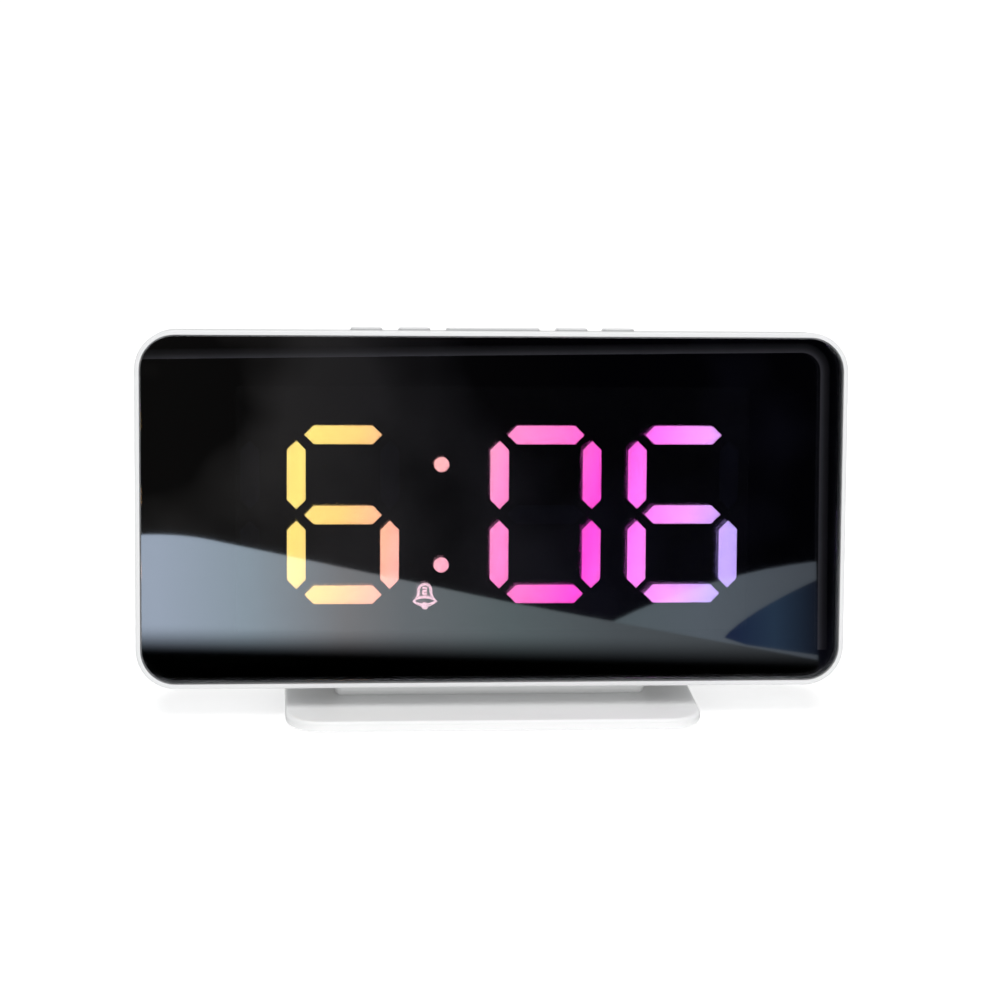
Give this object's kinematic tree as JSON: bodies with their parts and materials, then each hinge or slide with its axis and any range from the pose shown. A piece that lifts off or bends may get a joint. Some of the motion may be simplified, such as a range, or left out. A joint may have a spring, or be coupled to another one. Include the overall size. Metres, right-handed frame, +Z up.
{
  "type": "desk alarm clock",
  "caption": "Desk alarm clock: shallow white case with a dark half-mirror face and glowing segment digits, keys on top, on a tilting stand.",
  "frame": {"origin": "centre of the bounding box footprint, on the desk under the rubber feet", "axes": "+Z up, -Y towards the person reading the clock, +X to that person's right"},
  "size_m": [0.166, 0.0482, 0.0889],
  "materials": {
    "white_shell": "smooth white moulded plastic, satin gloss",
    "stand_white": "smooth white moulded plastic, satin gloss",
    "key_white": "white moulded plastic",
    "mirror_face": "half-mirror acrylic, nearly black with a clear reflection",
    "colour_film": "clear film printed with a colour run from yellow over pink to violet",
    "black_plastic": "black moulded plastic",
    "hour_light": "lit diffuser, yellow to peach",
    "minute_tens_light": "lit diffuser, pink",
    "minute_light": "lit diffuser, magenta to lilac",
    "dot_light": "lit diffuser, pale pink",
    "bell_light": "lit diffuser, pale pink",
    "unlit_lens": "smoke-grey diffuser, switched off",
    "led_body": "small white LED package",
    "circuit_board": "green solder mask",
    "steel_screw": "zinc plated",
    "chip_package": "black epoxy package",
    "capacitor_can": "aluminium can",
    "bright_metal": "nickel plated",
    "ribbon_cable": "white flat cable",
    "nylon": "natural nylon",
    "cell_wrap": "shrink-wrapped cell, dark blue grey",
    "speaker_frame": "black pressed steel",
    "magnet": "dark sintered magnet",
    "cone_paper": "dark speaker cone",
    "lead_insulation": "red wire insulation",
    "steel_pin": "turned steel",
    "steel_ballast": "plain steel sheet",
    "switch_plunger": "black plastic",
    "foot_rubber": "black rubber"
  },
  "bodies": {
    "stand": {"base_plate": "stand_white", "base_ballast": "steel_ballast", "base_bottom": "stand_white", "base_screws": "steel_screw", "rubber_feet": "foot_rubber"},
    "hour_button": {"hour_key": "key_white", "hour_plunger": "switch_plunger"},
    "minute_button": {"minute_key": "key_white", "minute_plunger": "switch_plunger"},
    "snooze_button": {"snooze_key": "key_white", "snooze_plunger": "switch_plunger"},
    "alarm_button": {"alarm_key": "key_white", "alarm_plunger": "switch_plunger"},
    "set_button": {"set_key": "key_white", "set_plunger": "switch_plunger"},
    "door": {"battery_door": "white_shell"},
    "case": {"alarm_bell_icon": "bell_light", "battery_cells": "cell_wrap", "battery_contact_plates": "bright_metal", "battery_springs": "bright_metal", "board_screws": "steel_screw", "case_screws": "steel_screw", "clock_crystal": "bright_metal", "colon_dots": "dot_light", "colour_film": "colour_film", "controller_chip": "chip_package", "dark_segments": "unlit_lens", "display_board": "circuit_board", "driver_chip": "chip_package", "filter_capacitor": "capacitor_can", "friction_washers": "nylon", "front_case": "white_shell", "hinge_bracket": "white_shell", "hinge_pins": "steel_pin", "hour_segments": "hour_light", "key_board": "circuit_board", "key_board_screws": "steel_screw", "key_ribbon": "ribbon_cable", "light_box": "black_plastic", "minute_segments": "minute_light", "minute_tens_segments": "minute_tens_light", "mirror_panel": "mirror_face", "power_jack": "black_plastic", "power_jack_pin": "bright_metal", "rear_cover": "white_shell", "ribbon_connector": "nylon", "segment_leds": "led_body", "speaker_basket": "speaker_frame", "speaker_cone": "cone_paper", "speaker_leads": "lead_insulation", "speaker_magnet": "magnet", "tact_switches": "black_plastic"}
  },
  "joints": [
    {"name": "case_tilt", "type": "hinge", "parent": "stand", "child": "case", "pos_m": [0, -0.0018, 0.00726], "axis": [-1, 0, 0], "range_deg": [-10, 15]},
    {"name": "battery_door_swing", "type": "hinge", "parent": "case", "child": "door", "pos_m": [0, 0.01594, 0.02728], "axis": [-1, 0, 0], "range_deg": [0, 65]},
    {"name": "hour_press", "type": "slide", "parent": "case", "child": "hour_button", "axis": [0, -0.1736, -0.9848], "range_m": [0, 0.00045], "stiffness_N_per_m": 800, "springref_m": -0.0003},
    {"name": "minute_press", "type": "slide", "parent": "case", "child": "minute_button", "axis": [0, -0.1736, -0.9848], "range_m": [0, 0.00045], "stiffness_N_per_m": 800, "springref_m": -0.0003},
    {"name": "snooze_press", "type": "slide", "parent": "case", "child": "snooze_button", "axis": [0, -0.1736, -0.9848], "range_m": [0, 0.00045], "stiffness_N_per_m": 800, "springref_m": -0.0003},
    {"name": "alarm_press", "type": "slide", "parent": "case", "child": "alarm_button", "axis": [0, -0.1736, -0.9848], "range_m": [0, 0.00045], "stiffness_N_per_m": 800, "springref_m": -0.0003},
    {"name": "set_press", "type": "slide", "parent": "case", "child": "set_button", "axis": [0, -0.1736, -0.9848], "range_m": [0, 0.00045], "stiffness_N_per_m": 800, "springref_m": -0.0003}
  ]
}
